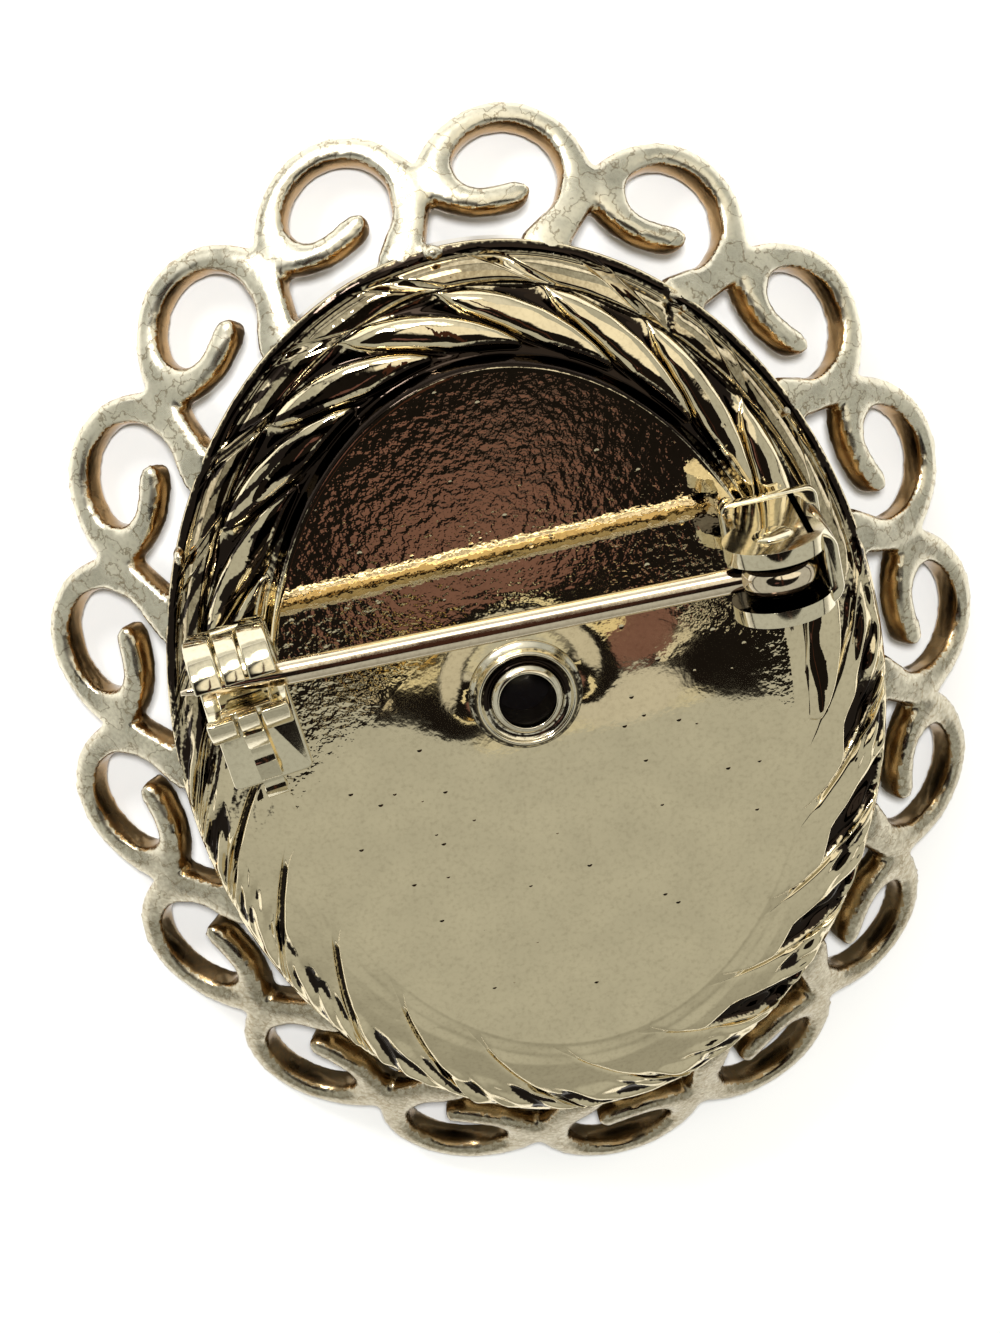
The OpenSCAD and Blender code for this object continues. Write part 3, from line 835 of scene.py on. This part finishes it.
def two_tones(nt, value, lo, hi, dark, light):
    """A colour that goes from dark to light over the span from lo to hi of a value."""
    n = nt.nodes.new("ShaderNodeValToRGB")
    for stop, place, colour in zip(n.color_ramp.elements, (lo, hi), (dark, light)):
        stop.position = place
        stop.color = tuple(colour) + (1,)
    feed(nt, n.inputs["Fac"], value)
    return n.outputs["Color"]


def new_material(name):
    """A material, its node tree and its shader."""
    mat = bpy.data.materials.new(name)
    mat.use_nodes = True
    return mat, mat.node_tree, mat.node_tree.nodes["Principled BSDF"]


def on_object(nt):
    """The place on the object, in metres."""
    return nt.nodes.new("ShaderNodeTexCoord").outputs["Object"]


def set_bump(nt, shader, height, strength, distance):
    bump = node(nt, "ShaderNodeBump", Strength=strength, Distance=distance)
    feed(nt, bump.inputs["Height"], height)
    feed(nt, shader.inputs["Normal"], bump.outputs["Normal"])


# Materials

# The middle span of the noise, which holds nearly all of it
NOISE_LO, NOISE_HI = 0.3, 0.7
# Scales of the patterns, per metre
DRIFT_SCALE = 500
VEIN_SCALE = 1000
FLECK_SCALE = 5200
PIT_SCALE = 800
CLOUD_SCALE = 260
# Painted shade where the meshes mark it, a greyer tone and a near black one: colour, and the span of mark
# plus fleck over which it comes in
PAINTED_SHADES = (
    ("shade", (0.31, 0.245, 0.145), 0.35, 1.60),
    ("recess", (0.025, 0.018, 0.014), 0.85, 1.15),
)
WEAR = (0.30, 0.22, 0.12)
# A line of wear's inner and outer edge in the noise, and a pit's in shares of a cell
VEIN_EDGE = (0.004, 0.020)
PIT_EDGE = (0.03, 0.10)
# Roughness drifts between these shares of a metal's own
ROUGH_LO, ROUGH_HI = 0.6, 1.5
# The grain is faint inside an ellipse in the plate's lower part and full outside a wider one: their
# common centre in metres, the inverse of their half axes per metre, and their sizes
FAINT_CENTRE = (0.0005, -0.006)
FAINT_SCALE = (60, 58)
FAINT_IN, FAINT_OUT = 0.62, 0.86
FAINT_GRAIN = 0.10


def grain_gain(nt, place, full):
    """How strong the grain is at a place."""
    here = node(nt, "ShaderNodeVectorMath", operation="MULTIPLY_ADD")
    feed(nt, here.inputs[0], place)
    here.inputs[1].default_value = (*FAINT_SCALE, 0)
    here.inputs[2].default_value = (*[-c * k for c, k in zip(FAINT_CENTRE, FAINT_SCALE)], 0)
    reach = node(nt, "ShaderNodeVectorMath", operation="LENGTH")
    feed(nt, reach.inputs[0], here.outputs["Vector"])
    return mapped(nt, reach.outputs["Value"], FAINT_IN, FAINT_OUT, FAINT_GRAIN, full)


def metal(name, colour, rough, tone, fine, coarse, pits=0.0, uneven=0.0, veins=0.0):
    """Gold plate with drifting tone, painted shade, grain and pits; a grain is (scale per m, height in
    microns).
    """
    mat, nt, shader = new_material(name)
    place = on_object(nt)
    shader.inputs["Metallic"].default_value = 1.0
    drift = clouds(nt, place, DRIFT_SCALE, 4.0)
    dark = [c * (1 - tone) for c in colour]
    light = [min(1, c * (1 + tone)) for c in colour]
    tint = two_tones(nt, drift, NOISE_LO, NOISE_HI, dark, light)
    if veins:
        # Thin brown lines of wear, where the noise passes its middle
        off = math_node(nt, "ABSOLUTE", math_node(nt, "SUBTRACT", clouds(nt, place, VEIN_SCALE, 5.0), 0.5))
        tint = mixed(nt, mapped(nt, off, *VEIN_EDGE, veins, 0.0), tint, WEAR)
    # Painted shade where the meshes mark it, with flecks at its edge
    for mark, shade_colour, lo, hi in PAINTED_SHADES:
        marked = node(nt, "ShaderNodeAttribute", attribute_name=mark).outputs["Fac"]
        edge = math_node(nt, "ADD", marked, clouds(nt, place, FLECK_SCALE, 2.0))
        tint = mixed(nt, mapped(nt, edge, lo, hi, kind="SMOOTHSTEP"), tint, shade_colour)
    feed(nt, shader.inputs["Base Color"], tint)
    dull = mapped(nt, drift, NOISE_LO, NOISE_HI, rough * ROUGH_LO, rough * ROUGH_HI)
    feed(nt, shader.inputs["Roughness"], dull)
    height = 0.0
    for scale, microns in (fine, coarse):
        height = math_node(nt, "MULTIPLY_ADD", clouds(nt, place, scale, 2.0), microns, height)
    if uneven:
        height = math_node(nt, "MULTIPLY", height, grain_gain(nt, place, uneven))
    if pits:
        cell = node(nt, "ShaderNodeTexVoronoi", Scale=float(PIT_SCALE), Randomness=1.0)
        feed(nt, cell.inputs["Vector"], place)
        pit = mapped(nt, cell.outputs["Distance"], *PIT_EDGE, -pits, 0.0)
        height = math_node(nt, "ADD", height, pit)
    set_bump(nt, shader, height, 1.0, MICRON)
    return mat


def stone(name, deep, pale, rough):
    """Glossy clouded stone; light goes a little way into it."""
    mat, nt, shader = new_material(name)
    place = on_object(nt)
    cloud = clouds(nt, place, CLOUD_SCALE, 5.0)
    feed(nt, shader.inputs["Base Color"], two_tones(nt, cloud, 0.35, 0.68, deep, pale))
    for socket, value in (("Roughness", rough), ("Coat Weight", 0.25), ("Coat Roughness", 0.1),
                          ("Subsurface Weight", 0.12), ("Subsurface Radius", (0.002, 0.001, 0.0006)),
                          ("Subsurface Scale", 0.4)):
        shader.inputs[socket].default_value = value
    set_bump(nt, shader, cloud, 0.15, 30 * MICRON)
    return mat


cast_gold = metal("cast_gold", (0.86, 0.75, 0.52), 0.014, 0.05, (2800, 2.6), (1200, 2.0),
                  pits=7.0, uneven=2.1)
strip_gold = metal("strip_gold", (0.84, 0.79, 0.64), 0.27, 0.16, (3500, 6.0), (1100, 26.0), veins=0.7)
sheet_gold = metal("sheet_gold", (0.86, 0.78, 0.58), 0.09, 0.05, (4500, 1.0), (1200, 4.0))
# A darker brown gold for the border's walls: painted shade
painted_shade_wall_gold = metal("painted_shade_wall_gold", (0.43, 0.27, 0.12), 0.22, 0.45, (3500, 8.0), (900, 30.0))
eyelet_gold = metal("eyelet_gold", (0.88, 0.81, 0.64), 0.13, 0.06, (4500, 1.0), (1200, 3.0))
wire_gold = metal("wire_gold", (0.88, 0.76, 0.58), 0.09, 0.04, (4500, 0.8), (1200, 2.0))
# The stone's ground is near black; seen through the eyelet's hole, this dark stone is painted shade
stone_black = stone("stone_black", (0.005, 0.004, 0.004), (0.012, 0.010, 0.009), 0.30)
stone_ivory = stone("stone_ivory", (0.66, 0.54, 0.40), (0.82, 0.74, 0.60), 0.38)

border = scroll_border()
# Mesh, material, body, slot and replaced node of each piece
PIECES = (
    (border, strip_gold, "brooch", "gilt_casting", "setting_frame"),
    (casting(), cast_gold, "brooch", "gilt_casting", "setting_frame"),
    (hinge_bracket(), sheet_gold, "brooch", "gilt_fitting", "hinge_bracket"),
    (hinge_rivet(), sheet_gold, "brooch", "gilt_fitting", "hinge_rivet"),
    (pin(), wire_gold, "pin", "pin_wire", "pin_stem"),
    (catch_rings(), sheet_gold, "brooch", "gilt_fitting", "catch_housing"),
    (catch_lever(), sheet_gold, "lever", "gilt_fitting", "catch_lever"),
    (eyelet(), eyelet_gold, "brooch", "gilt_fitting", "back_eyelet"),
    (cameo(), stone_black, "brooch", "stone_ground", "cameo_stone"),
    (relief(), stone_ivory, "brooch", "stone_carving", "cameo_relief"),
)
for piece, finish, rides, slot, replaced in PIECES:
    piece.data.materials.clear()
    piece.data.materials.append(finish)
    if piece is border:
        piece.data.materials.append(painted_shade_wall_gold)
        mark_walls(piece, 1)
    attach(piece, rides)
    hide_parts(replaced)

# The floor, a hair under the brooch
FLOOR_HALF = 0.6
floor_mesh = bpy.data.meshes.new("floor")
floor_corners = [(x * FLOOR_HALF, y * FLOOR_HALF, 0) for x, y in ((-1, -1), (1, -1), (1, 1), (-1, 1))]
floor_mesh.from_pydata(floor_corners, [], [(0, 1, 2, 3)])
floor = bpy.data.objects.new("floor", floor_mesh)
bpy.context.scene.collection.objects.link(floor)
floor.location.z = -0.02 * MM
pale, _, pale_shader = new_material("pale_floor")
pale_shader.inputs["Base Color"].default_value = (0.86, 0.86, 0.85, 1)
pale_shader.inputs["Roughness"].default_value = 0.9
floor_mesh.materials.append(pale)

# The camera's directions, its distance from the plate and its shift to the right and up, in millimetres
RIGHT = Vector((0.9754, -0.183, 0.1228)).normalized()
BACK = Vector((-0.0464, 0.3742, 0.9262)).normalized()
UP = BACK.cross(RIGHT).normalized()
CAMERA_FAR = 220
SHIFT_RIGHT, SHIFT_UP = -1.678, 1.942
# The photo's height and the lens's focal length, both in pixels of the photo
PHOTO_HIGH = 1333
FOCAL = 5016
cam = bpy.data.cameras.new("photo_camera")
cam.sensor_width = 36
cam.lens = FOCAL / PHOTO_HIGH * cam.sensor_width
cam.clip_start = 0.01
cam.clip_end = 10
camera = bpy.data.objects.new("photo_camera", cam)
bpy.context.scene.collection.objects.link(camera)
stand = Matrix((RIGHT, UP, BACK)).transposed().to_4x4()
aside = SHIFT_RIGHT * RIGHT + SHIFT_UP * UP
stand.translation = (Vector((0, 0, PLATE_Z)) + aside + CAMERA_FAR * BACK) * MM
camera.matrix_world = stand
bpy.context.scene.camera = camera

# Soft studio light: a pale room with a dark screen overhead
world = bpy.data.worlds.new("studio")
bpy.context.scene.world = world
world.use_nodes = True
room = world.node_tree
toward = room.nodes.new("ShaderNodeTexCoord").outputs["Generated"]
split = room.nodes.new("ShaderNodeSeparateXYZ")
feed(room, split.inputs[0], toward)
toward_x, toward_y, toward_z = split.outputs
# Directions below this height are no part of the mirrored plane
HORIZON = 0.05
# The soft start of a bar to each side of its first end, and its soft edge, in millimetres
BAR_START = 0.1
BAR_EDGE = 0.08


def smooth(value, lo, hi):
    return mapped(room, value, lo, hi, kind="SMOOTHSTEP")


def linear(value, gain, offset):
    return math_node(room, "MULTIPLY_ADD", value, gain, offset)


def near(aim, inner, outer):
    """1 within inner degrees of a direction, 0 beyond outer degrees."""
    n = node(room, "ShaderNodeVectorMath", operation="DOT_PRODUCT")
    feed(room, n.inputs[0], toward)
    n.inputs[1].default_value = Vector(aim).normalized()
    return smooth(n.outputs["Value"], math.cos(math.radians(outer)), math.cos(math.radians(inner)))


# The back plate mirrors a small part of the room; mirror_x and mirror_y are the places in the plate's plane,
# in millimetres, where the photo's camera sees each direction
EYE = (camera.location.x / MM, camera.location.y / MM, camera.location.z / MM - PLATE_Z)
rise = math_node(room, "MAXIMUM", toward_z, HORIZON)
mirror_x = linear(math_node(room, "DIVIDE", toward_x, rise), EYE[2], EYE[0])
mirror_y = linear(math_node(room, "DIVIDE", toward_y, rise), EYE[2], EYE[1])


def patch(centre, radii, soft):
    """1 inside an ellipse on the mirror plane, 0 outside, with a soft edge in shares of its radius."""
    dx, dy = [linear(m, 1 / r, -c / r) for m, c, r in zip((mirror_x, mirror_y), centre, radii)]
    squares = [math_node(room, "MULTIPLY", d, d) for d in (dx, dy)]
    outside = smooth(math_node(room, "SQRT", math_node(room, "ADD", *squares)), 1 - soft, 1 + soft)
    above = math_node(room, "GREATER_THAN", toward_z, HORIZON)
    return math_node(room, "MULTIPLY", math_node(room, "SUBTRACT", 1.0, outside), above)


def bar(start, end, half):
    """1 along a straight strip on the mirror plane, 0 beside it."""
    run = Vector(end) - Vector(start)
    length = run.length
    run.normalize()
    dx = linear(mirror_x, 1, -start[0])
    dy = linear(mirror_y, 1, -start[1])
    along = math_node(room, "ADD", linear(dx, run.x, 0), linear(dy, run.y, 0))
    across = math_node(room, "SUBTRACT", linear(dx, run.y, 0), linear(dy, run.x, 0))
    off = math_node(room, "ABSOLUTE", across)
    begun = smooth(along, -BAR_START, BAR_START)
    on = math_node(room, "MULTIPLY", begun, math_node(room, "LESS_THAN", along, length))
    beside = smooth(off, half, half + BAR_EDGE)
    return math_node(room, "MULTIPLY", on, math_node(room, "SUBTRACT", 1.0, beside))


OLIVE = (0.50, 0.505, 0.46)
GREY = (0.36, 0.36, 0.32)
DUSK = (0.04, 0.035, 0.03)
BLACK = (0.010, 0.008, 0.007)
BROWN = (0.20, 0.105, 0.085)
CREAM = (0.85, 0.76, 0.50)
STRAW = (0.85, 0.72, 0.42)
# Where the room's lamp stands, with a wide halo
LAMP = (-0.05, 0.87, 0.47)

# Ellipses of the room on the mirror plane, from the back to the front: centre, radii, soft edge and colour
PATCHES = (
    # A dark screen with a pale edge, a bright wall beyond it, brown cloth, and a post that the pin mirrors
    ((-8, 166), (225.5, 167.5), 0.0015, (0.66, 0.63, 0.50)),
    ((-8, 166), (225, 166.8), 0.0015, BLACK),
    ((112, 232), (200, 108), 0.10, (1.05, 0.99, 0.84)),
    ((-75, 88), (22, 14), 0.30, (0.16, 0.075, 0.065)),
    ((-18.4, 150), (8, 148), 0.06, (0.055, 0.022, 0.014)),
    # What the plate's middle mirrors
    ((-9.0, -3.2), (7.0, 4.4), 0.03, OLIVE),
    ((10.2, 0.9), (4.0, 2.5), 0.05, BLACK),
    ((3.9, -0.2), (2.7, 1.25), 0.15, (0.60, 0.58, 0.51)),
    ((-1.7, 8.2), (5.6, 3.7), 0.10, BROWN),
    ((1.8, 12.8), (3.0, 1.5), 0.20, (0.11, 0.07, 0.06)),
    ((4.6, 2.4), (1.9, 1.2), 0.12, BROWN),
    ((-0.6, 1.0), (1.9, 1.5), 0.20, (0.60, 0.57, 0.48)),
)
# Strips on the mirror plane: ends, half width and colour
BARS = (
    ((-9.3, 2.9), (-6.3, 1.8), 0.14, (0.62, 0.55, 0.40)),
    ((5.68, 1.10), (8.64, 3.2), 0.18, (0.75, 0.70, 0.55)),
    # Pale bands that hug the eyelet
    ((-6.4, 2.7), (-2.4, 2.2), 0.16, CREAM),
    ((-6.4, 3.6), (-2.8, 3.1), 0.12, (0.75, 0.50, 0.16)),
    ((-0.2, 3.8), (2.3, 2.5), 0.22, CREAM),
    ((2.2, 2.5), (4.4, 3.4), 0.16, STRAW),
)

sky = mixed(room, smooth(toward_z, 0.02, 0.07), DUSK, OLIVE)
# Greyer low down at the brooch's lower end
lower_end = smooth(math_node(room, "MULTIPLY", toward_y, -1.0), 0.55, 0.9)
low_down = smooth(math_node(room, "MULTIPLY", toward_z, -1.0), -0.75, -0.3)
sky = mixed(room, math_node(room, "MULTIPLY", lower_end, low_down), sky, GREY)
sky = mixed(room, near(LAMP, 18, 40), sky, (0.85, 0.84, 0.78))
sky = mixed(room, near(LAMP, 7, 13), sky, (4.6, 4.5, 4.1))
for centre, radii, soft, colour in PATCHES:
    sky = mixed(room, patch(centre, radii, soft), sky, colour)
for start, end, half, colour in BARS:
    sky = mixed(room, bar(start, end, half), sky, colour)
feed(room, room.nodes["Background"].inputs["Color"], sky)


def lamp(name, kind, energy, **settings):
    data = bpy.data.lights.new(name, kind)
    data.energy = energy
    for key, value in settings.items():
        setattr(data, key, value)
    ob = bpy.data.objects.new(name, data)
    bpy.context.scene.collection.objects.link(ob)
    return ob


# A pool of light on the floor from the camera's side, and a soft key light beyond the brooch's top
pool = lamp("pool", "SPOT", 6.0, spot_size=math.radians(21), spot_blend=0.35, shadow_soft_size=0.02)
pool.matrix_world = camera.matrix_world.copy()
pool.location = BACK * 0.40 + UP * 0.02
pool.visible_glossy = False
key = lamp("key", "AREA", 2.5, shape="DISK", size=0.15)
key.location = (-0.30, 0.62, 0.42)
key.rotation_euler = key.location.to_track_quat("Z", "Y").to_euler()
bpy.context.scene.view_settings.view_transform = "Standard"

bpy.context.view_layer.update()
